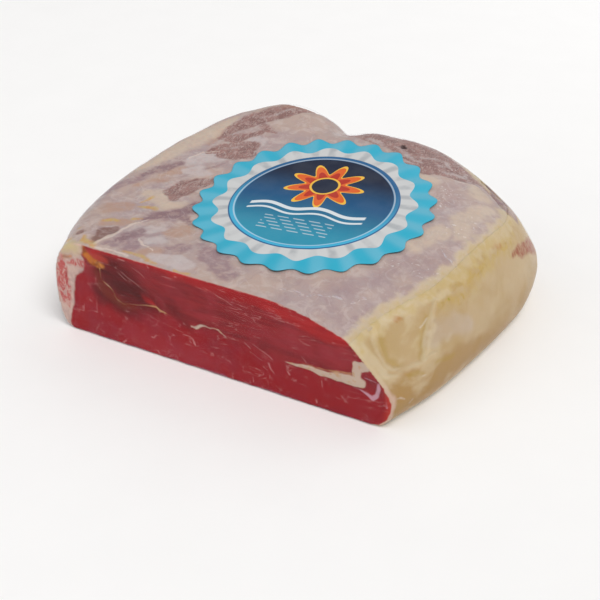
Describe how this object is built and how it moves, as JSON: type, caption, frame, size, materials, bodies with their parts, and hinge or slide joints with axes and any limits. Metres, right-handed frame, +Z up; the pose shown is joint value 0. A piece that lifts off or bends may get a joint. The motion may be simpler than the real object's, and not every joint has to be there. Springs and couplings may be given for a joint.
{
  "type": "prosciutto",
  "caption": "Half of a boneless cured ham, cut flat at the front, wrapped in clear film, with a round scalloped label on top.",
  "frame": {"origin": "centre of the bounding box's bottom, on the surface that the ham rests on", "axes": "+Z up, -Y is the way that the cut face looks, +X is the side with the fat cover"},
  "size_m": [0.2706, 0.2262, 0.0878],
  "materials": {
    "cured_meat": "deep red cured meat and pale lilac fascia under tight clear film",
    "ham_fat": "cream to yellow fat under tight clear film",
    "label_print": "satin printed paper in blue and silver",
    "clear_film": "clear glossy shrink film"
  },
  "bodies": {
    "root": {"lean": "cured_meat", "fat_cap": "ham_fat", "label": "label_print"}
  },
  "joints": []
}
